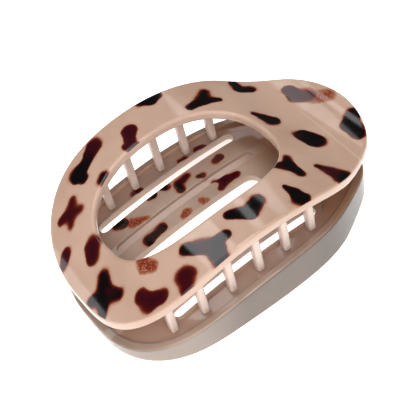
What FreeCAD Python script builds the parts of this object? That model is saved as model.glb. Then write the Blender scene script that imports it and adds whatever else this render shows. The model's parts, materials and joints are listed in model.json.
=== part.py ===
"""Lay-flat claw clip for hair: two arched moulded jaws on one sprung hinge.

+X points to the finger tabs and the hinge, -X to the mouth, +Z up.
The origin is on the plane that the clip rests on, below the middle of its length and width.
Sizes are in millimetres and live in the sheet "sizes".
"""
import FreeCAD
import Part
import math
import os

Vector = FreeCAD.Vector

SIZES = {
    # plan of the jaws: an oval body, blunt at the mouth, and a round tab behind its waist
    "jawlength": 102.0,
    "jawwidth": 68.0,
    "bodyoffset": -15.0,
    "mouthfullness": 2.7,
    "flankreach": 55.0,
    "flankfullness": 3.6,
    "taboffset": 30.0,
    "tabwidth": 52.0,
    "tabfullness": 2.0,
    # plan of the window in the upper plate
    "windowoffset": -8.0,
    "windowlength": 58.0,
    "windowwidth": 38.5,
    "windowfullness": 2.6,
    # upper plate
    "platethick": 3.3,
    "crownheight": 35.3,
    "crownoffset": -3.5,
    "archradius": 64.0,
    "creaseoffset": 26.6,
    "tabradius": 34.0,
    "plateround": 0.9,
    # posts that comb into the hair
    "postcount": 6,
    "postfirst": -34.2,
    "postpitch": 10.0,
    "postinset": 7.0,
    "postwide": 2.5,
    "postdeep": 3.0,
    "postround": 0.8,
    "postdip": 1.0,
    # lower jaw
    "riminset": 1.2,
    "rimshift": -1.1,
    "rimheight": 12.9,
    "rimoffset": 11.3,
    "rimradius": 200.0,
    "rimround": 0.8,
    "wallthick": 2.4,
    "footend": 26.0,
    "tabrise": 5.9,
    "deckthick": 2.4,
    "gutterdepth": 1.3,
    "deckfrom": -35.9,
    "deckto": 26.1,
    "deckside": 23.8,
    "deckcorner": 8.0,
    "slotfrom": -32.0,
    "slotto": 20.8,
    "sideslotwide": 4.0,
    "sideslotoffset": 21.3,
    "midslotwide": 7.2,
    "midslotto": 16.0,
    "groovewide": 3.6,
    "groovedepth": 1.2,
    "grooveoffset": 10.6,
    # hinge
    "hingeoffset": 34.6,
    "hingeheight": 15.0,
    "pinradius": 1.0,
    "pinlength": 34.0,
    "runclear": 0.05,
    "lugradius": 3.2,
    "lugthick": 3.0,
    "upperlugside": 8.5,
    "lowerlugside": 14.0,
    # torsion spring
    "wireradius": 0.5,
    "coilradius": 2.2,
    "coilpitch": 1.06,
    "coilturns": 9,
    "leglength": 11.0,
    "legrise": 14.0,
    "legdrop": 16.0,
}

# Angles round each oval of the plan at which the curve through it is pinned, in degrees.
MOUTH_ANGLES = range(0, 91, 15)
FLANK_ANGLES = (75, 60, 50)
TAB_ANGLES = (70, 50, 30, 15, 0)
WINDOW_ANGLES = range(0, 91, 15)
REACH = 60.0   # half length of the profiles that trim the jaws, past both ends
CLEAR = 60.0   # height of the prisms that cut right through
INSET_POINTS = 40   # points that carry an inset outline
TURN = -1.0   # the outline runs clockwise, so its inside is on the right

doc = FreeCAD.newDocument("claw_clip")
sheet = doc.addObject("Spreadsheet::Sheet", "sizes")
for row, (name, value) in enumerate(SIZES.items(), start=1):
    sheet.set("A%d" % row, name)
    sheet.set("B%d" % row, str(value))
    sheet.setAlias("B%d" % row, name)
doc.recompute()


def size(name):
    return float(sheet.get(name))


def bind(item, **expressions):
    """Bind properties to expressions over the sheet; a double underscore stands for a dot."""
    for prop, expression in expressions.items():
        item.setExpression(prop.replace("__", "."), expression)
    return item


def combine(kind, name, shapes):
    item = doc.addObject(kind, name)
    item.Shapes = shapes
    return item


def cut(name, base, tool):
    item = doc.addObject("Part::Cut", name)
    item.Base = base
    item.Tool = tool
    return item


# ---- curves -----------------------------------------------------------------------------

def oval(centre, reach, width, fullness, angles):
    """Points on one side of an oval. A fullness of 2 is an ellipse, and more is squarer."""
    power = 2 / fullness
    turns = [math.radians(angle) for angle in angles]
    return [(centre + reach * math.cos(t) ** power, width / 2 * math.sin(t) ** power) for t in turns]


def jaw_stations():
    """From the nose of the mouth back along the flank, past the waist and round the tab."""
    end = size("jawlength") / 2
    body, tab, width = size("bodyoffset"), size("taboffset"), size("jawwidth")
    mouth = oval(body, -(end + body), width, size("mouthfullness"), MOUTH_ANGLES)
    flank = oval(body, size("flankreach"), width, size("flankfullness"), FLANK_ANGLES)
    return mouth + flank + oval(tab, end - tab, size("tabwidth"), size("tabfullness"), TAB_ANGLES)


def window_stations():
    """From the window's end by the mouth to its end by the hinge."""
    middle, reach = size("windowoffset"), size("windowlength") / 2
    width, fullness = size("windowwidth"), size("windowfullness")
    toward_mouth = oval(middle, -reach, width, fullness, WINDOW_ANGLES)
    toward_hinge = oval(middle, reach, width, fullness, WINDOW_ANGLES)
    return toward_mouth + toward_hinge[-2::-1]


def mirrored_spline(stations):
    """A closed smooth curve, symmetric about the X axis, through the stations."""
    upper = [Vector(x, y, 0) for x, y in stations]
    lower = [Vector(x, -y, 0) for x, y in stations[-2:0:-1]]
    curve = Part.BSplineCurve()
    curve.interpolate(upper + lower, PeriodicFlag=True)
    return curve


def plan_sketch(name, geometry):
    sketch = doc.addObject("Sketcher::SketchObject", name)
    for curve in geometry:
        sketch.addGeometry(curve)
    return sketch


def side_sketch(name, geometry):
    """A sketch in the XZ plane: sketch X is X and sketch Y is Z."""
    sketch = plan_sketch(name, geometry)
    sketch.Placement = FreeCAD.Placement(Vector(0, 0, 0), FreeCAD.Rotation(Vector(1, 0, 0), 90))
    return sketch


def prism(name, sketch, length=CLEAR, symmetric=False):
    item = doc.addObject("Part::Extrusion", name)
    item.Base = sketch
    item.DirMode = "Normal"
    item.LengthFwd = length
    item.Symmetric = symmetric
    item.Solid = True
    return item


def wide_slab(name, profile):
    """A side profile carried right across the width of the clip."""
    return prism(name, side_sketch(name + "_profile", profile), 2 * REACH, True)


def inset_prism(name, distance):
    """A prism of the lower jaw's outline: the upper one moved inwards and toward the mouth."""
    curve = outline.Geometry[0]
    first, last = curve.FirstParameter, curve.LastParameter
    points = []
    for number in range(INSET_POINTS):
        place = first + (last - first) * number / INSET_POINTS
        along = curve.tangent(place)[0]
        points.append(curve.value(place) + Vector(-along.y, along.x, 0) * (distance * TURN))
    inset = Part.BSplineCurve()
    inset.interpolate(points, PeriodicFlag=True)
    sketch = bind(plan_sketch(name + "_outline", [inset]), Placement__Base__x="sizes.rimshift")
    return prism(name, sketch)


def line(start, end):
    return Part.LineSegment(Vector(*start, 0), Vector(*end, 0))


def arc(start, middle, end):
    return Part.Arc(Vector(*start, 0), Vector(*middle, 0), Vector(*end, 0))


def stadium(x_from, x_to, y, width):
    """A slot outline along X with round ends."""
    half = width / 2
    left, right = x_from + half, x_to - half
    return [
        line((left, y - half), (right, y - half)),
        arc((right, y - half), (x_to, y), (right, y + half)),
        line((right, y + half), (left, y + half)),
        arc((left, y + half), (x_from, y), (left, y - half)),
    ]


def rounded_rectangle(x_from, x_to, side, corner):
    diagonal = corner * (1 - math.sqrt(0.5))
    low, high = x_from + corner, x_to - corner
    flat = side - corner
    return [
        line((low, -side), (high, -side)),
        arc((high, -side), (x_to - diagonal, -side + diagonal), (x_to, -flat)),
        line((x_to, -flat), (x_to, flat)),
        arc((x_to, flat), (x_to - diagonal, side - diagonal), (high, side)),
        line((high, side), (low, side)),
        arc((low, side), (x_from + diagonal, side - diagonal), (x_from, flat)),
        line((x_from, flat), (x_from, -flat)),
        arc((x_from, -flat), (x_from + diagonal, -side + diagonal), (low, -side)),
    ]


# ---- heights along the length -----------------------------------------------------------

def plate_height(x, depth=0.0):
    """Height of the upper plate's surface, or of the surface parallel to it at a depth."""
    radius = size("archradius")
    centre_x = size("crownoffset")
    centre_z = size("crownheight") - radius
    crease = size("creaseoffset")
    if x <= crease:
        return centre_z + math.sqrt((radius - depth) ** 2 - (x - centre_x) ** 2)
    lean = math.asin((crease - centre_x) / radius)
    tab_x = centre_x + (radius + size("tabradius")) * math.sin(lean)
    tab_z = centre_z + (radius + size("tabradius")) * math.cos(lean)
    return tab_z - math.sqrt((size("tabradius") + depth) ** 2 - (x - tab_x) ** 2)


def rim_height(x, depth=0.0):
    """Height of the lower jaw's rim, or of the surface parallel to it at a depth."""
    radius = size("rimradius")
    return size("rimheight") - radius + math.sqrt((radius - depth) ** 2 - (x - size("rimoffset")) ** 2)


def plate_curves(depth):
    """The arched top and the reversed bend of the tab, as two tangent arcs at a depth."""
    crease = size("creaseoffset")
    lean = math.asin((crease - size("crownoffset")) / size("archradius"))
    joint_x = crease - depth * math.sin(lean)
    arch = [-REACH + 2, size("crownoffset"), joint_x]
    tab = [joint_x, (joint_x + REACH) / 2 + 2, REACH - 4]
    radius = size("archradius") - depth
    centre_x = size("crownoffset")
    centre_z = size("crownheight") - size("archradius")
    tab_x = centre_x + (size("archradius") + size("tabradius")) * math.sin(lean)
    tab_z = centre_z + (size("archradius") + size("tabradius")) * math.cos(lean)
    on_arch = [(x, centre_z + math.sqrt(radius ** 2 - (x - centre_x) ** 2)) for x in arch]
    bend = size("tabradius") + depth
    on_tab = [(x, tab_z - math.sqrt(bend ** 2 - (x - tab_x) ** 2)) for x in tab]
    return on_arch, on_tab


def plate_profile():
    top_arch, top_tab = plate_curves(0.0)
    low_arch, low_tab = plate_curves(size("platethick"))
    return [
        arc(*top_arch), arc(*top_tab), line(top_tab[-1], low_tab[-1]),
        arc(*low_tab[::-1]), arc(*low_arch[::-1]), line(low_arch[0], top_arch[0]),
    ]


def under_rim_profile(depth, floor):
    """Everything below a surface parallel to the rim, down to a floor line."""
    top = [(x, rim_height(x, depth)) for x in (-REACH, 0.0, REACH)]
    return [arc(*top)] + closing_lines(top[-1], floor, top[0])


def closing_lines(start, corners, end):
    path = [start] + corners + [end]
    return [line(a, b) for a, b in zip(path, path[1:])]


def over_rim_profile(depth):
    """Everything above a surface parallel to the rim."""
    low = [(x, rim_height(x, depth)) for x in (REACH, 0.0, -REACH)]
    return [arc(*low)] + closing_lines(low[-1], [(-REACH, CLEAR), (REACH, CLEAR)], low[0])


def edges_near(shape, test):
    return [n for n, edge in enumerate(shape.Edges, start=1) if test(edge)]


def fillet(name, base, numbers, radius):
    item = doc.addObject("Part::Fillet", name)
    item.Base = base
    item.Edges = [(n, radius, radius) for n in numbers]
    return item


# ---- upper jaw --------------------------------------------------------------------------

outline = plan_sketch("outline", [mirrored_spline(jaw_stations())])
window = plan_sketch("window", [mirrored_spline(window_stations())])
doc.recompute()


def half_width(x):
    """Half width of the jaw at a station, from the outline itself."""
    chord = Part.makeLine(Vector(x, 0, 0), Vector(x, REACH, 0))
    return outline.Shape.Edges[0].distToShape(chord)[1][0][0].y


def make_plate():
    slab = wide_slab("plate_slab", plate_profile())
    blank = combine("Part::MultiCommon", "plate_blank", [prism("plate_plan", outline), slab])
    plate = cut("plate_windowed", blank, prism("window_plan", window))
    doc.recompute()
    long_edges = edges_near(plate.Shape, lambda edge: edge.Length > 2 * size("platethick"))
    return fillet("plate", plate, long_edges, size("plateround"))


def make_post(number, side):
    """One comb post, from the middle of the plate down into the gutter of the lower jaw."""
    x = size("postfirst") + number * size("postpitch")
    y = side * (half_width(x) - size("postinset"))
    tip = rim_height(x) - size("postdip")
    name = "post_%d_%s" % (number, "far" if side > 0 else "near")
    box = bind(
        doc.addObject("Part::Box", name + "_bar"),
        Length="sizes.postwide", Width="sizes.postdeep",
        Placement__Base__x="%.3f - sizes.postwide / 2" % x,
        Placement__Base__y="%.3f - sizes.postdeep / 2" % y,
    )
    box.Placement.Base.z = tip
    box.Height = plate_height(x, size("platethick") / 2) - tip
    doc.recompute()
    top = box.Shape.BoundBox.ZMax
    lower_edges = edges_near(box.Shape, lambda edge: edge.BoundBox.ZMin < top - 0.1)
    return fillet(name, box, lower_edges, size("postround"))


def lug_profile(low, high_left, high_right):
    """A lug as a round eye about the pin with a web up, or down, to a sloping end."""
    x, z, radius = size("hingeoffset"), size("hingeheight"), size("lugradius")
    left, right = x - radius, x + radius
    return [
        arc((left, z), (x, low), (right, z)), line((right, z), (right, high_right)),
        line((right, high_right), (left, high_left)), line((left, high_left), (left, z)),
    ]


def make_lugs(name, profile, side_alias):
    """Two equal lugs, one each side of the middle."""
    lugs = []
    for side in (-1, 1):
        sketch = side_sketch("%s_profile_%d" % (name, side + 1), profile)
        lug = doc.addObject("Part::Extrusion", "%s_%d" % (name, side + 1))
        lug.Base = sketch
        lug.DirMode = "Normal"
        lug.Solid = True
        lug.Symmetric = True
        bind(lug, LengthFwd="sizes.lugthick")
        bind(lug, Placement__Base__y="%d * (sizes.%s + sizes.lugthick / 2)" % (side, side_alias))
        lugs.append(lug)
    return lugs


def pin_bore(name, radius_expression):
    bore = bind(
        doc.addObject("Part::Cylinder", name),
        Radius=radius_expression, Placement__Base__x="sizes.hingeoffset",
        Placement__Base__z="sizes.hingeheight", Placement__Base__y="-sizes.pinlength",
        Height="2 * sizes.pinlength",
    )
    bore.Placement.Rotation = FreeCAD.Rotation(Vector(1, 0, 0), -90)
    return bore


def make_upper_jaw():
    x, z, radius = size("hingeoffset"), size("hingeheight"), size("lugradius")
    middle = size("platethick") / 2
    profile = lug_profile(z - radius, plate_height(x - radius, middle), plate_height(x + radius, middle))
    posts = [make_post(n, side) for n in range(int(size("postcount"))) for side in (-1, 1)]
    lugs = make_lugs("upper_lug", profile, "upperlugside")
    solid = combine("Part::MultiFuse", "upper_moulding", [make_plate()] + posts + lugs)
    jaw = cut("upper_jaw_bored", solid, pin_bore("upper_bore", "sizes.pinradius + sizes.runclear"))
    jaw.Label = "upper_jaw"
    return jaw


# ---- lower jaw --------------------------------------------------------------------------

def is_rim_edge(edge):
    """True for the long edges round the top of the shell, and not for those of its foot."""
    return edge.CenterOfMass.z > size("rimheight") / 2 and edge.Length > size("wallthick")


def make_shell():
    """The outside of the lower jaw: rim arched, foot flat and rising below the tab."""
    foot = [(REACH, size("tabrise")), (size("footend"), 0.0), (-REACH, 0.0)]
    below = wide_slab("rim_slab", under_rim_profile(0.0, foot))
    shell = combine("Part::MultiCommon", "shell", [inset_prism("rim_plan", size("riminset")), below])
    doc.recompute()
    return fillet("shell_round", shell, edges_near(shell.Shape, is_rim_edge), size("rimround"))


def make_hollows():
    """The gutter that surrounds the raised deck, and the hollow below both."""
    inside = size("riminset") + size("wallthick")
    over = wide_slab("gutter_slab", over_rim_profile(size("gutterdepth")))
    ring = combine("Part::MultiCommon", "gutter_blank", [inset_prism("gutter_plan", inside), over])
    deck = rounded_rectangle(size("deckfrom"), size("deckto"), size("deckside"), size("deckcorner"))
    gutter = cut("gutter", ring, prism("deck_block", plan_sketch("deck_plan", deck)))
    pit = [(REACH, -CLEAR), (-REACH, -CLEAR)]
    under = wide_slab("hollow_slab", under_rim_profile(size("deckthick"), pit))
    hollow = combine("Part::MultiCommon", "hollow", [inset_prism("hollow_plan", inside), under])
    return [gutter, hollow]


def make_slots():
    """A middle slot through the deck, and one along each side of it."""
    start, side_end, offset = size("slotfrom"), size("slotto"), size("sideslotoffset")
    plans = [
        stadium(start, side_end, -offset, size("sideslotwide")),
        stadium(start, size("midslotto"), 0.0, size("midslotwide")),
        stadium(start, side_end, offset, size("sideslotwide")),
    ]
    return [
        prism("slot_%d" % number, plan_sketch("slot_plan_%d" % number, plan))
        for number, plan in enumerate(plans)
    ]


def make_grooves():
    """A shallow groove along the top of each of the deck's two bars."""
    over = wide_slab("groove_slab", over_rim_profile(size("groovedepth")))
    grooves = []
    for side in (-1, 1):
        offset = side * size("grooveoffset")
        plan = stadium(size("slotfrom"), size("slotto"), offset, size("groovewide"))
        blank = prism("groove_blank_%d" % (side + 1), plan_sketch("groove_plan_%d" % (side + 1), plan))
        grooves.append(combine("Part::MultiCommon", "groove_%d" % (side + 1), [blank, over]))
    return grooves


def make_lower_jaw():
    x, z, radius = size("hingeoffset"), size("hingeheight"), size("lugradius")
    root = (size("gutterdepth") + size("deckthick")) / 2
    profile = lug_profile(z + radius, rim_height(x - radius, root), rim_height(x + radius, root))
    tools = combine("Part::MultiFuse", "lower_tools", make_hollows() + make_slots() + make_grooves())
    hollowed = cut("lower_hollowed", make_shell(), tools)
    lugs = make_lugs("lower_lug", profile, "lowerlugside")
    solid = combine("Part::MultiFuse", "lower_moulding", [hollowed] + lugs)
    jaw = cut("lower_jaw_bored", solid, pin_bore("lower_bore", "sizes.pinradius"))
    jaw.Label = "lower_jaw"
    return jaw


# ---- pin and spring ---------------------------------------------------------------------

def make_pin():
    """A plain steel pin, pressed into the lower lugs."""
    pin = bind(
        doc.addObject("Part::Cylinder", "hinge_pin_bar"),
        Radius="sizes.pinradius", Height="sizes.pinlength",
        Placement__Base__x="sizes.hingeoffset", Placement__Base__z="sizes.hingeheight",
        Placement__Base__y="-sizes.pinlength / 2",
    )
    pin.Placement.Rotation = FreeCAD.Rotation(Vector(1, 0, 0), -90)
    pin.Label = "hinge_pin"
    return pin


def make_spring():
    """A torsion spring round the pin, with one leg under the upper tab and one on the lower tab."""
    radius, wire = size("coilradius"), size("wireradius")
    rise, drop = size("legrise"), size("legdrop")
    turns = size("coilturns") + (180 - rise - drop) / 360
    height = size("coilpitch") * turns
    helix = Part.makeHelix(size("coilpitch"), height, radius)
    section = Part.Wire(Part.makeCircle(wire, Vector(radius, 0, 0), Vector(0, 1, 0)))
    coil = Part.Wire(helix.Edges).makePipeShell([section], True, True)
    upright = FreeCAD.Placement(Vector(0, 0, -height / 2), FreeCAD.Rotation(Vector(0, 0, 1), 90 + rise))
    across = FreeCAD.Rotation(Vector(1, 0, 0), 90)
    centre = Vector(size("hingeoffset"), 0, size("hingeheight"))
    coil.Placement = FreeCAD.Placement(centre, across).multiply(upright)
    pieces = [coil]
    for y, angle, slope in ((height / 2, 90 + rise, rise), (-height / 2, 270 - drop, -drop)):
        angle, slope = math.radians(angle), math.radians(slope)
        start = centre + Vector(radius * math.cos(angle), y, radius * math.sin(angle))
        direction = Vector(math.cos(slope), 0, math.sin(slope))
        pieces.append(Part.makeCylinder(wire, size("leglength"), start, direction))
    spring = doc.addObject("Part::Feature", "torsion_spring_wire")
    spring.Shape = pieces[0].fuse(pieces[1:])
    spring.Label = "torsion_spring"
    return spring


upper_jaw = make_upper_jaw()
lower_jaw = make_lower_jaw()
hinge_pin = make_pin()
torsion_spring = make_spring()
parts = [upper_jaw, lower_jaw, hinge_pin, torsion_spring]
doc.recompute()

for item in doc.Objects:
    if "Invalid" in item.State or "Error" in item.State:
        raise RuntimeError("%s did not build: %s" % (item.Label, item.State))
os.makedirs("parts", exist_ok=True)
for item in parts:
    if item.Shape.isNull() or not item.Shape.isValid():
        raise RuntimeError("%s has no valid shape" % item.Label)
    item.Shape.exportStep(os.path.join("parts", item.Label + ".step"))
    print(item.Label, round(item.Shape.Volume, 1), "mm3", item.Shape.BoundBox)
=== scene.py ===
"""Looks for a lay-flat claw clip: milky nude acetate with tortoiseshell spots."""
import bpy
import json
import math
from mathutils import Matrix, Vector


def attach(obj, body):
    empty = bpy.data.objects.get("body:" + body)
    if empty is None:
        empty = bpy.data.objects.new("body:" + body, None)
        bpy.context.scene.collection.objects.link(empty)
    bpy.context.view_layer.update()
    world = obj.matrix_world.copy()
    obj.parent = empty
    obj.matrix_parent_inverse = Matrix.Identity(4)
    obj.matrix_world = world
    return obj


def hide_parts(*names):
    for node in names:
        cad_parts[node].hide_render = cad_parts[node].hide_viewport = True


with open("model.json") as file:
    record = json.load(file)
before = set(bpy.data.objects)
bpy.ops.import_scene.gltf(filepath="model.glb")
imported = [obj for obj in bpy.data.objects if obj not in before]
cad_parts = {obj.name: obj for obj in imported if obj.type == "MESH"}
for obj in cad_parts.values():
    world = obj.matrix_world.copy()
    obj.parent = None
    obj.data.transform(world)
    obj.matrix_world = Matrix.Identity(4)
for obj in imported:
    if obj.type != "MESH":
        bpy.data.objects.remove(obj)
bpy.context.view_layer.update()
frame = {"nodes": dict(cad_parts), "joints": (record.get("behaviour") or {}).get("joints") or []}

nodes = frame["nodes"]
hinge = Vector(frame["joints"][0]["pos_m"])
MM = 0.001

# ---- camera -----------------------------------------------------------------------------

CAMERA_AZIMUTH = -23.07
CAMERA_ELEVATION = 47.96
CAMERA_ROLL = -15.6
CAMERA_DISTANCE = 0.3119
CAMERA_AIM = Vector((-0.0041, -0.0028, 0.020))
CAMERA_LENS = 90.3


def heading(azimuth, elevation):
    """Unit vector toward an azimuth, from -Y round to +X, and an elevation, in degrees."""
    azimuth, elevation = math.radians(azimuth), math.radians(elevation)
    return Vector((
        math.sin(azimuth) * math.cos(elevation),
        -math.cos(azimuth) * math.cos(elevation),
        math.sin(elevation),
    ))


def make_camera():
    """A long lens from above the near side, rolled so that the clip rises to the right."""
    back = heading(CAMERA_AZIMUTH, CAMERA_ELEVATION)
    data = bpy.data.cameras.new("camera")
    data.lens = CAMERA_LENS
    data.clip_start, data.clip_end = 0.01, 20.0
    camera = bpy.data.objects.new("camera", data)
    bpy.context.scene.collection.objects.link(camera)
    upright = (-back).to_track_quat("-Z", "Y").to_matrix().to_4x4()
    camera.matrix_world = (
        Matrix.Translation(CAMERA_AIM + back * CAMERA_DISTANCE)
        @ upright @ Matrix.Rotation(math.radians(CAMERA_ROLL), 4, "Z")
    )
    bpy.context.scene.camera = camera


# ---- building node trees ----------------------------------------------------------------

class Graph:
    """Builds one node tree. A socket is given a value, or another node's output."""

    def __init__(self, tree):
        self.tree = tree
        tree.nodes.clear()

    def add(self, kind, sockets=None, **settings):
        node = self.tree.nodes.new(kind)
        for name, value in settings.items():
            setattr(node, name, value)
        for name, value in (sockets or {}).items():
            if isinstance(value, bpy.types.NodeSocket):
                self.tree.links.new(value, node.inputs[name])
            else:
                node.inputs[name].default_value = value
        return node

    def math(self, operation, *values):
        node = self.add("ShaderNodeMath", dict(enumerate(values)), operation=operation)
        return node.outputs[0]

    def distance(self, value, place=0.0):
        """How far a value is from a place, either way."""
        return self.math("ABSOLUTE", self.math("SUBTRACT", value, place))

    def vector(self, operation, *values):
        node = self.add("ShaderNodeVectorMath", dict(enumerate(values)), operation=operation)
        return node.outputs["Value" if operation in ("DOT_PRODUCT", "LENGTH") else "Vector"]

    def scaled(self, vector, factor):
        node = self.add("ShaderNodeVectorMath", {0: vector, "Scale": factor}, operation="SCALE")
        return node.outputs[0]

    def noise(self, place, scale, detail=2.0, roughness=0.5):
        sockets = {"Vector": place, "Scale": scale, "Detail": detail, "Roughness": roughness}
        return self.add("ShaderNodeTexNoise", sockets)

    def span(self, value, low, high, out_low=0.0, out_high=1.0):
        """A value carried smoothly from one range to another, and held at its ends."""
        sockets = {"Value": value, 1: low, 2: high, 3: out_low, 4: out_high}
        node = self.add("ShaderNodeMapRange", sockets, interpolation_type="SMOOTHSTEP")
        return node.outputs[0]

    def mix(self, factor, first, second):
        node = self.add("ShaderNodeMix", {0: factor}, data_type="RGBA")
        for socket, colour in ((node.inputs[6], first), (node.inputs[7], second)):
            if isinstance(colour, bpy.types.NodeSocket):
                self.tree.links.new(colour, socket)
            else:
                socket.default_value = (*colour, 1)
        return node.outputs[2]

    def ramp(self, factor, stops):
        """A colour for each place along a factor, as (place, colour) pairs."""
        node = self.add("ShaderNodeValToRGB", {0: factor})
        elements = node.color_ramp.elements
        elements[0].position, elements[0].color = stops[0][0], (*stops[0][1], 1)
        elements[1].position, elements[1].color = stops[-1][0], (*stops[-1][1], 1)
        for place, colour in stops[1:-1]:
            elements.new(place).color = (*colour, 1)
        return node.outputs[0]


def new_material(name):
    material = bpy.data.materials.new(name)
    material.use_nodes = True
    return material, Graph(material.node_tree)


# ---- stage ------------------------------------------------------------------------------

FLOOR_REACH = 3.0      # half the side of the floor, in metres
FLOOR_DROP = 0.2 * MM  # how far the floor lies below the clip's foot
FLOOR_GLOW = 1.0
WORLD_GLOW = 0.07
LAMP_AIM = Vector((0, 0, 20 * MM))


def make_floor():
    """A white floor that glows, as plain as a cut-out background."""
    mesh = bpy.data.meshes.new("floor")
    corners = [(x * FLOOR_REACH, y * FLOOR_REACH, 0) for x, y in ((-1, -1), (1, -1), (1, 1), (-1, 1))]
    mesh.from_pydata(corners, [], [(0, 1, 2, 3)])
    floor = bpy.data.objects.new("floor", mesh)
    floor.location.z = -FLOOR_DROP
    bpy.context.scene.collection.objects.link(floor)
    material, graph = new_material("floor_white")
    shader = graph.add("ShaderNodeBsdfPrincipled", {
        "Base Color": (0.9, 0.9, 0.9, 1), "Roughness": 0.9, "Specular IOR Level": 0.0,
        "Emission Color": (1, 1, 1, 1), "Emission Strength": FLOOR_GLOW,
    })
    graph.add("ShaderNodeOutputMaterial", {"Surface": shader.outputs[0]})
    mesh.materials.append(material)


def make_world():
    """A faint even glow, so that no shadow is quite black."""
    world = bpy.data.worlds.new("studio")
    bpy.context.scene.world = world
    world.use_nodes = True
    graph = Graph(world.node_tree)
    sky = graph.add("ShaderNodeBackground", {"Color": (1, 1, 1, 1), "Strength": WORLD_GLOW})
    graph.add("ShaderNodeOutputWorld", {"Surface": sky.outputs[0]})


def soft_box(name, azimuth, elevation, distance, width, height, radiance):
    """A rectangular lamp that faces the clip from an azimuth and elevation."""
    data = bpy.data.lights.new(name, "AREA")
    data.shape = "RECTANGLE"
    data.size, data.size_y = width, height
    data.energy = radiance * math.pi * width * height
    lamp = bpy.data.objects.new(name, data)
    bpy.context.scene.collection.objects.link(lamp)
    back = heading(azimuth, elevation)
    lamp.location = LAMP_AIM + back * distance
    lamp.rotation_mode = "QUATERNION"
    lamp.rotation_quaternion = (-back).to_track_quat("-Z", "Y")


def make_lights():
    """Windows behind the clip for its reflections, a soft key above it and strips for glints."""
    # name, azimuth, elevation, distance, width, height, radiance
    soft_box("window_wide", -168, 54, 0.9, 0.26, 0.16, 3.2)
    soft_box("window_narrow", 153, 50, 0.9, 0.06, 0.16, 3.0)
    soft_box("window_low", -130, 3, 0.9, 0.4, 0.16, 2.0)
    soft_box("window_tab", 142, 39, 0.9, 0.16, 0.2, 2.0)
    soft_box("overhead", -30, 76, 1.0, 1.3, 1.3, 1.4)
    soft_box("front", -23, 40, 1.0, 1.0, 0.7, 1.9)
    soft_box("strip_top", -23, 80, 0.9, 0.6, 0.03, 22.0)
    soft_box("strip_near", -23, 20, 0.9, 0.5, 0.02, 12.0)


# ---- tortoiseshell pattern --------------------------------------------------------------
# Each shape is a few tapered lobes about its own middle, as x, y and radius at both ends,
# for a spot of size 1. A spot is a shape, its place in the plan and its turn, then its size.

SHAPES = {
    "oval": [(-0.6, 0.0, 0.8, 0.6, 0.0, 1.0)],
    "bean": [(-1.5, 0.4, 0.8, 0.0, -0.2, 1.0), (0.0, -0.2, 1.0, 1.5, 0.5, 0.9)],
    "bone": [
        (-2.0, 0.1, 1.1, 0.0, -0.1, 0.7), (0.0, -0.1, 0.7, 2.1, 0.1, 1.0),
        (-2.2, -0.9, 0.7, -1.8, 0.0, 0.9),
    ],
    "drop": [(-2.4, 0.0, 0.3, -0.8, 0.1, 0.7), (-0.8, 0.1, 0.7, 0.4, 0.0, 1.2)],
    "club": [
        (-1.8, 0.0, 0.9, 0.0, 0.1, 0.8), (0.0, 0.1, 0.8, 1.4, 0.0, 1.3),
        (-1.8, -0.9, 0.5, -1.6, 0.9, 0.5),
    ],
    "axe": [
        (-2.6, 0.1, 0.7, 0.4, 0.0, 1.0), (0.4, 0.0, 1.0, 2.0, 1.2, 0.6),
        (0.8, -0.2, 1.2, 1.6, -1.8, 0.9),
    ],
    "hook": [(-1.6, 0.8, 0.9, 0.4, 0.6, 1.0), (0.4, 0.6, 1.0, 1.2, -1.8, 0.7)],
    "fork": [
        (-2.2, 0.0, 0.6, 0.2, 0.0, 1.0), (0.2, 0.0, 1.0, 1.6, 1.4, 0.5),
        (0.2, 0.0, 1.0, 1.8, -1.2, 0.4),
    ],
    "star": [
        (0.0, 0.0, 1.1, 2.0, 0.7, 0.5), (0.0, 0.0, 1.1, -1.2, 1.5, 0.6),
        (0.0, 0.0, 1.1, -1.7, -1.0, 0.4), (0.0, 0.0, 1.1, 0.9, -1.6, 0.5),
    ],
}
BLACK_UPPER = [
    # far flank, from the mouth to the waist
    ("bone", (-26, 28), 22, 2.4), ("oval", (-26, 18), 25, 1.3), ("bean", (1, 32), -5, 1.8),
    ("fork", (14, 22), 10, 2.2), ("hook", (29, 24), 160, 1.6),
    # about the fold of the tab, and on the tab
    ("drop", (26, 5), -60, 2.0), ("oval", (31, -8), -70, 3.2), ("fork", (17, -18), 100, 1.9),
    ("drop", (27, -27), -65, 2.6), ("bean", (45, -11), 240, 2.7),
    # near flank, from the waist to the mouth
    ("drop", (11, -30), -85, 2.2), ("hook", (-3, -25), 215, 2.2), ("axe", (-18, -27), -40, 2.4),
    ("star", (-46, -10), -75, 2.6),
]
MAROON_UPPER = [
    ("club", (-12, 23), 60, 1.9), ("star", (-39, 19), 25, 1.8), ("oval", (-41, 3), 50, 2.5),
    ("oval", (-48, 11), 30, 1.8), ("bean", (-38, -25), -60, 2.2), ("drop", (-28, -30), 60, 2.4),
    ("bean", (41, 11), -70, 2.5),
]
ORANGE_UPPER = [("bean", (45, 6), -60, 2.2), ("bean", (-33, -16), -80, 1.6)]
BLACK_LOWER = [
    ("hook", (-3, 16), 80, 1.4), ("oval", (-8, 19), -45, 1.1), ("oval", (-13, 19), 0, 1.2),
    ("oval", (3, 14), -20, 0.9), ("bone", (-20, 6), 5, 1.4), ("oval", (-26, 18), -30, 1.7),
]
MAROON_LOWER = [
    ("oval", (10, 25), -25, 1.3), ("oval", (3, 25), -15, 1.1), ("oval", (-15, 25), -15, 1.3),
    ("oval", (11, 16), 10, 1.4), ("fork", (8, 7), 170, 1.7), ("oval", (-3, -13), 25, 1.9),
    ("oval", (10, -10), -45, 1.8), ("oval", (-20, -12), -50, 1.8),
]
ORANGE_LOWER = [("drop", (-22, 15), 155, 1.6), ("oval", (-2, 5), -65, 1.1), ("oval", (-9, 5), 25, 1.3)]
RAGGED = 0.6   # how far the edges of the spots wander, in millimetres
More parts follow.
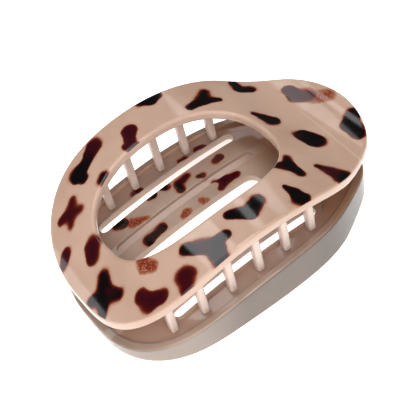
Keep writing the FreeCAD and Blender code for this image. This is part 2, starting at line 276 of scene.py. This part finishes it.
MELT = 0.9     # how softly the lobes of a spot run together, in millimetres
SWELL = 0.25   # how far the dye has crept past the lobes, in millimetres


def lobe_group():
    """A node group: distance from a point to a tapered lobe, less than nothing inside it."""
    group = bpy.data.node_groups.new("lobe", "ShaderNodeTree")
    kinds = [("Point", "Vector"), ("Start", "Vector"), ("Span", "Vector"), ("Shrink", "Float"),
             ("Radius", "Float"), ("Growth", "Float")]
    for name, kind in kinds:
        group.interface.new_socket(name, in_out="INPUT", socket_type="NodeSocket" + kind)
    group.interface.new_socket("Distance", in_out="OUTPUT", socket_type="NodeSocketFloat")
    graph = Graph(group)
    given = graph.add("NodeGroupInput").outputs
    away = graph.vector("SUBTRACT", given["Point"], given["Start"])
    along = graph.math("MULTIPLY", graph.vector("DOT_PRODUCT", away, given["Span"]), given["Shrink"])
    held = graph.add("ShaderNodeClamp", {"Value": along}).outputs[0]
    foot = graph.scaled(given["Span"], held)
    gap = graph.vector("LENGTH", graph.vector("SUBTRACT", away, foot))
    radius = graph.math("MULTIPLY_ADD", held, given["Growth"], given["Radius"])
    graph.add("NodeGroupOutput", {"Distance": graph.math("SUBTRACT", gap, radius)})
    return group


LOBE = lobe_group()


def spot_field(graph, place, spots):
    """Distance in millimetres to the nearest of the spots, less than nothing inside one."""
    nearest = None
    for shape, middle, turn, scale in spots:
        joined = None
        turned = Matrix.Rotation(math.radians(turn), 3, "Z") * scale
        for x, y, radius, end_x, end_y, end_radius in SHAPES[shape]:
            start = Vector((*middle, 0)) + turned @ Vector((x, y, 0))
            span = turned @ Vector((end_x - x, end_y - y, 0))
            node = graph.add("ShaderNodeGroup", node_tree=LOBE)
            graph.tree.links.new(place, node.inputs["Point"])
            node.inputs["Start"].default_value = start
            node.inputs["Span"].default_value = span
            node.inputs["Shrink"].default_value = 1 / max(span.length_squared, 0.01)
            node.inputs["Radius"].default_value = radius * scale
            node.inputs["Growth"].default_value = (end_radius - radius) * scale
            lobe = node.outputs[0]
            joined = lobe if joined is None else graph.math("SMOOTH_MIN", joined, lobe, MELT)
        nearest = joined if nearest is None else graph.math("MINIMUM", nearest, joined)
    return graph.math("SUBTRACT", nearest, SWELL)


def plan_place(graph, where):
    """The plan in millimetres, wandering a little so that spots have natural edges."""
    sway = graph.noise(where, 210.0, 2.0, 0.45).outputs["Color"]
    centred = graph.vector("SUBTRACT", sway, (0.5, 0.5, 0.5))
    moved = graph.vector("ADD", graph.scaled(where, 1 / MM), graph.scaled(centred, 2 * RAGGED))
    return graph.vector("MULTIPLY", moved, (1, 1, 0))


# Colours from the middle of a spot out to its edge, as a place from 0 to 1 and a colour.
BLACK_STOPS = [
    (0.0, (0.0015, 0.0006, 0.0006)), (0.30, (0.003, 0.001, 0.001)), (0.40, (0.03, 0.0015, 0.002)),
    (0.50, (0.15, 0.015, 0.006)), (0.60, (0.38, 0.15, 0.08)),
]
MAROON_STOPS = [
    (0.0, (0.035, 0.001, 0.005)), (0.34, (0.05, 0.0015, 0.004)), (0.44, (0.10, 0.008, 0.004)),
    (0.52, (0.22, 0.045, 0.02)), (0.60, (0.42, 0.2, 0.12)),
]
ORANGE_STOPS = [
    (0.0, (0.20, 0.022, 0.004)), (0.38, (0.25, 0.035, 0.008)), (0.48, (0.33, 0.09, 0.03)),
    (0.60, (0.45, 0.23, 0.14)),
]
HALO = (0.36, 0.115, 0.045)   # dye that has bled round the dark spots


def with_spots(graph, base, fields, mask, where):
    """The base colour with halos, then orange, maroon and black spots, where the mask allows."""
    grain = graph.noise(where, 1500.0, 2.0, 0.6).outputs["Fac"]
    bloom = graph.noise(where, 95.0, 1.0, 0.5).outputs["Fac"]
    dye = graph.noise(where, 70.0, 2.0, 0.5).outputs["Fac"]
    wide = graph.math("MINIMUM", fields[0], fields[1])
    halo = graph.math("MULTIPLY", graph.span(wide, 1.3, 0.0), graph.span(bloom, 0.46, 0.62, 0.12, 0.75))
    colour = graph.mix(graph.math("MULTIPLY", halo, mask), base, HALO)
    # Each kind of spot: its field, its colours, how speckled it is and how sharp its edge is.
    looks = (
        (fields[2], ORANGE_STOPS, 1.6, 0.45),
        (fields[1], MAROON_STOPS, 0.3, 0.62),
        (fields[0], BLACK_STOPS, 0.15, 0.8),
    )
    for field, stops, speckle, sharpness in looks:
        rough = graph.math("MULTIPLY_ADD", graph.math("SUBTRACT", grain, 0.5), speckle, field)
        spread = graph.span(bloom, 0.35, 0.65, sharpness, sharpness * 0.45)
        level = graph.math("MULTIPLY_ADD", graph.math("MULTIPLY", rough, spread), 0.5, 0.5)
        tint = graph.ramp(level, stops)
        if stops is BLACK_STOPS:
            warm = graph.math("MULTIPLY", graph.span(dye, 0.56, 0.68), 0.85)
            tint = graph.mix(warm, tint, graph.ramp(level, MAROON_STOPS))
        cover = graph.math("MULTIPLY", graph.span(level, 0.62, 0.50), mask)
        if stops is ORANGE_STOPS:
            cover = graph.math("MULTIPLY", cover, graph.span(grain, 0.34, 0.54, 0.6, 1.0))
        colour = graph.mix(cover, colour, tint)
    return colour


# ---- plastics ---------------------------------------------------------------------------

CROWN_X = -3.5 * MM
CROWN_TOP = 35.3 * MM
ARCH_RADIUS = 64.0 * MM
TAB_TOP = 23.5 * MM
PLATE_DEPTH = 3.5 * MM   # the plate's own thickness, and a little more
FOLD_X = 37.3 * MM
GROOVE_Y = 10.6 * MM
DECK_X = -6.5 * MM       # middle of the deck


def surface_height(graph, x):
    """Height of the plate's top at an X: a crown that turns up into the tab."""
    over_crown = graph.math("SUBTRACT", x, CROWN_X)
    rise = graph.math("SUBTRACT", ARCH_RADIUS ** 2, graph.math("MULTIPLY", over_crown, over_crown))
    crown = graph.math("ADD", graph.math("SQRT", rise), CROWN_TOP - ARCH_RADIUS)
    tab = graph.span(x, 20 * MM, 26 * MM, 0.0, TAB_TOP)
    return graph.math("MAXIMUM", crown, tab)


def acetate(name, light, dark, spots, mask_of, tone_of, soft, scatter):
    """Glossy milky acetate: faint clouds in the body colour, regions of tone with painted highlight and
    painted shade, and spots.
    """
    material, graph = new_material(name)
    where = graph.add("ShaderNodeTexCoord").outputs["Object"]
    axes = graph.add("ShaderNodeSeparateXYZ", {0: where}).outputs
    cloud = graph.noise(where, 38.0, 3.0, 0.55).outputs["Fac"]
    fine = graph.noise(where, 420.0, 2.0, 0.5).outputs["Fac"]
    body = graph.mix(graph.span(cloud, 0.35, 0.65), light, dark)
    body = graph.mix(graph.math("MULTIPLY", fine, 0.10), body, dark)
    facing = graph.add("ShaderNodeTexCoord").outputs["Normal"]
    facing = graph.add("ShaderNodeSeparateXYZ", {0: facing}).outputs
    body = tone_of(graph, axes, facing, cloud, body)
    place = plan_place(graph, where)
    fields = [spot_field(graph, place, group) for group in spots]
    colour = with_spots(graph, body, fields, mask_of(graph, axes, facing), where)
    ripple = graph.noise(where, 60.0, 2.0, 0.5).outputs["Fac"]
    eased = graph.add("ShaderNodeBevel", {"Radius": 0.45 * MM}, samples=4).outputs[0]
    relief = graph.add("ShaderNodeBump", {
        "Height": ripple, "Strength": 0.04, "Distance": 0.0006, "Normal": eased,
    })
    smear = graph.noise(graph.vector("MULTIPLY", where, (1.0, 3.0, 1.0)), 120.0, 4.0, 0.6).outputs["Fac"]
    shader = graph.add("ShaderNodeBsdfPrincipled", {
        "Base Color": colour, "Roughness": graph.span(smear, 0.3, 0.7, soft, soft + 0.05),
        "Normal": relief.outputs[0], "IOR": 1.49, "Subsurface Weight": scatter,
        "Subsurface Radius": (1.0, 0.7, 0.55), "Subsurface Scale": scatter * 0.006,
    })
    graph.add("ShaderNodeOutputMaterial", {"Surface": shader.outputs[0]})
    return material


# Pairs of colours that the clouds in the plastic wander between.
SMOKE = ((0.20, 0.155, 0.125), (0.12, 0.09, 0.07))    # outside the skirt
WARM = ((0.74, 0.49, 0.34), (0.60, 0.38, 0.26))       # inside the rim
# painted shade: the darker brown that the lower jaw takes toward the hinge, under the upper jaw
HINGE_SHADE_BROWN = ((0.36, 0.21, 0.125), (0.26, 0.14, 0.075))    # toward the hinge
# Colours that a region fades into; some are painted highlight, painted light or painted shade, as
# marked.
POST_PALE = (0.78, 0.68, 0.62)
# painted highlight round the plate's rounded top edges
EDGE_HIGHLIGHT = (0.70, 0.58, 0.49)
# painted highlight: a light line along the fold of the tab
FOLD_HIGHLIGHT = (0.74, 0.60, 0.50)
MOUTH_SMOKE = (0.40, 0.33, 0.28)
# painted shade: the skirt's outside darkens toward the hinge
SKIRT_HINGE_SHADE = (0.07, 0.05, 0.036)
# painted light: near white for the inner walls below the deck, which lie in the deck's shade
PAINTED_LIGHT_BELOW_DECK = (0.97, 0.96, 0.95)
# painted shade: the grey of the deck's grooves
GROOVE_SHADE = (0.56, 0.49, 0.44)


def plate_tone(graph, axes, facing, cloud, body):
    """The upper jaw is paler down its posts, and has a painted highlight round its top edges and along
    the fold of its tab.
    """
    depth = graph.math("SUBTRACT", surface_height(graph, axes["X"]), axes["Z"])
    body = graph.mix(graph.span(depth, PLATE_DEPTH, 9.0 * MM, 0.0, 0.6), body, POST_PALE)
    # Painted highlight: the rounded top edges of the plate are lightened, as if they caught the lamps.
    edge = graph.span(graph.distance(facing["Z"]), 0.62, 0.40, 0.0, 0.15)
    at_top = graph.span(depth, 3.6 * MM, 2.0 * MM)
    body = graph.mix(graph.math("MULTIPLY", edge, at_top), body, EDGE_HIGHLIGHT)
    # Painted highlight: a thin light line along the fold, strongest on the near side of the tab.
    on_fold = graph.span(graph.distance(axes["X"], FOLD_X), 0.45 * MM, 0.05 * MM)
    fold = graph.math("MULTIPLY", on_fold, graph.span(axes["Y"], 7 * MM, 0.0))
    return graph.mix(graph.math("MULTIPLY", fold, 0.4), body, FOLD_HIGHLIGHT)


def smoke_tone(graph, x, cloud):
    """The outside of the skirt: smoky, paler at the mouth, and darker toward the hinge as painted shade.
    """
    smoke = graph.mix(cloud, *SMOKE)
    smoke = graph.mix(graph.span(x, -10 * MM, -35 * MM, 0.0, 0.7), smoke, MOUTH_SMOKE)
    # Painted shade: the skirt darkens toward the hinge.
    return graph.mix(graph.span(x, 5 * MM, 25 * MM, 0.0, 0.8), smoke, SKIRT_HINGE_SHADE)


def rim_region(graph, axes):
    """1 in the skirt and the rim, and 0 in the deck and its slots."""
    at_sides = graph.span(graph.distance(axes["Y"]), 25 * MM, 26 * MM)
    at_ends = graph.span(graph.distance(axes["X"], DECK_X), 29 * MM, 30 * MM)
    return graph.math("MAXIMUM", at_sides, at_ends)


def wall_tone(graph, axes, facing, cloud, body, hinge_shade):
    """The upright walls: smoky where they face out, warm inside the rim, and painted near white below
    the deck as painted light.
    """
    outward = graph.math(
        "ADD",
        graph.math("MULTIPLY", facing["X"], axes["X"]),
        graph.math("MULTIPLY", facing["Y"], axes["Y"]),
    )
    # Painted light: below the deck the inner walls turn near white, so the slots read bright.
    low = graph.span(axes["Z"], 6.5 * MM, 5.0 * MM)
    inside = graph.mix(low, hinge_shade(graph.mix(cloud, *WARM)), PAINTED_LIGHT_BELOW_DECK)
    at_rim = rim_region(graph, axes)
    inside = graph.mix(graph.math("MAXIMUM", at_rim, low), body, inside)
    faces_out = graph.math("MULTIPLY", at_rim, graph.span(outward, -1.0 * MM, 1.0 * MM))
    return graph.mix(faces_out, inside, smoke_tone(graph, axes["X"], cloud))


def jaw_tone(graph, axes, facing, cloud, body):
    """The lower jaw has walls of their own tone, painted shade along its grooves and a painted shade of
    brown toward the hinge.
    """
    # Painted shade: toward the hinge the lower jaw darkens to brown, under the upper jaw.
    brown = graph.mix(cloud, *HINGE_SHADE_BROWN)
    toward_hinge = graph.span(axes["X"], 12 * MM, 27 * MM, 0.0, 0.85)

    def hinge_shade(colour):
        return graph.mix(toward_hinge, colour, brown)

    walls = wall_tone(graph, axes, facing, cloud, body, hinge_shade)
    # Painted shade: a grey band either side of each groove in the deck.
    from_groove = graph.distance(graph.distance(axes["Y"]), GROOVE_Y)
    body = graph.mix(graph.span(from_groove, 2.2 * MM, 1.4 * MM, 0.0, 0.7), body, GROOVE_SHADE)
    upright = graph.span(graph.distance(facing["Z"]), 0.75, 0.55)
    return graph.mix(upright, hinge_shade(body), walls)


def plate_mask(graph, axes, facing):
    """The upper jaw is spotted over its plate, and plain round its edges and down its posts."""
    depth = graph.math("SUBTRACT", surface_height(graph, axes["X"]), axes["Z"])
    flat = graph.span(graph.distance(facing["Z"]), 0.42, 0.60)
    return graph.math("MULTIPLY", graph.span(depth, 3.8 * MM, PLATE_DEPTH), flat)


def deck_mask(graph, axes, facing):
    """The lower jaw is spotted over its deck, and plain down its slots and skirt."""
    on_deck = graph.span(graph.distance(axes["Y"]), 28.5 * MM, 28.0 * MM)
    flat = graph.span(graph.distance(facing["Z"]), 0.5, 0.7)
    return graph.math("MULTIPLY", on_deck, flat)


def steel(name, colour, roughness):
    """Drawn wire: fine lines round it and a few darker smears."""
    material, graph = new_material(name)
    where = graph.add("ShaderNodeTexCoord").outputs["Object"]
    lines = graph.noise(graph.vector("MULTIPLY", where, (1.0, 8.0, 1.0)), 900.0, 3.0, 0.6).outputs["Fac"]
    smear = graph.noise(where, 260.0, 3.0, 0.6).outputs["Fac"]
    tint = graph.mix(graph.span(smear, 0.4, 0.7), colour, tuple(part * 0.7 for part in colour))
    relief = graph.add("ShaderNodeBump", {"Height": lines, "Strength": 0.15, "Distance": 0.0001})
    shader = graph.add("ShaderNodeBsdfPrincipled", {
        "Base Color": tint, "Metallic": 1.0, "Normal": relief.outputs[0],
        "Roughness": graph.span(lines, 0.3, 0.7, roughness, roughness + 0.12),
    })
    graph.add("ShaderNodeOutputMaterial", {"Surface": shader.outputs[0]})
    return material


def paint(node, material):
    """Gives a CAD node its material."""
    slots = nodes[node].data.materials
    slots.clear()
    slots.append(material)


# ---- spring -----------------------------------------------------------------------------

COIL_RADIUS = 2.2 * MM
WIRE_RADIUS = 0.49 * MM
COIL_PITCH = 1.06 * MM
LEG_RISE = 14.0        # slope of the upper leg, in degrees
LEG_DROP = 16.0        # slope of the lower leg, in degrees
LEG_LENGTH = 11.0 * MM
WHOLE_TURNS = 9
TURNS = WHOLE_TURNS + (180 - LEG_RISE - LEG_DROP) / 360
COIL_STEPS = 320


def wire_piece(name, points, material, body):
    """A round wire through the points, that rides on one of the bodies."""
    curve = bpy.data.curves.new(name, "CURVE")
    curve.dimensions = "3D"
    curve.bevel_depth = WIRE_RADIUS
    curve.bevel_resolution = 5
    curve.use_fill_caps = True
    line = curve.splines.new("POLY")
    line.points.add(len(points) - 1)
    for point, place in zip(line.points, points):
        point.co = (*place, 1)
    curve.materials.append(material)
    piece = bpy.data.objects.new(name, curve)
    bpy.context.scene.collection.objects.link(piece)
    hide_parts("torsion_spring")
    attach(piece, body)


def on_coil(turn, across):
    """A point of the coil, at a turn in degrees and a place across the clip."""
    angle = math.radians(turn)
    return hinge + Vector((COIL_RADIUS * math.cos(angle), across, COIL_RADIUS * math.sin(angle)))


def make_spring(material):
    """A coil round the pin, a leg up to the tab of one jaw and a leg down to the other's."""
    half = COIL_PITCH * TURNS / 2
    first, last = 90 + LEG_RISE, 270 - LEG_DROP
    shares = [step / COIL_STEPS for step in range(COIL_STEPS + 1)]
    coil = [on_coil(first + 360 * TURNS * share, half - 2 * half * share) for share in shares]
    wire_piece("spring_coil", coil, material, "lower")
    for name, turn, across, slope, body in (
        ("spring_leg_upper", first, half, LEG_RISE, "upper"),
        ("spring_leg_lower", last, -half, -LEG_DROP, "lower"),
    ):
        start = on_coil(turn, across)
        slope = math.radians(slope)
        end = start + Vector((math.cos(slope), 0, math.sin(slope))) * LEG_LENGTH
        wire_piece(name, [start, (start + end) / 2, end], material, body)


# ---- the scene --------------------------------------------------------------------------

bpy.context.scene.view_settings.view_transform = "Standard"
make_camera()
make_floor()
make_world()
make_lights()
paint("upper_jaw", acetate(
    "upper_acetate", light=(0.62, 0.42, 0.32), dark=(0.54, 0.355, 0.262),
    spots=(BLACK_UPPER, MAROON_UPPER, ORANGE_UPPER),
    mask_of=plate_mask, tone_of=plate_tone, soft=0.05, scatter=0.25,
))
paint("lower_jaw", acetate(
    "lower_acetate", light=(0.46, 0.35, 0.28), dark=(0.36, 0.26, 0.205),
    spots=(BLACK_LOWER, MAROON_LOWER, ORANGE_LOWER),
    mask_of=deck_mask, tone_of=jaw_tone, soft=0.06, scatter=0.5,
))
paint("hinge_pin", steel("pin_steel", (0.62, 0.61, 0.60), 0.22))
make_spring(steel("spring_steel", (0.52, 0.52, 0.53), 0.25))
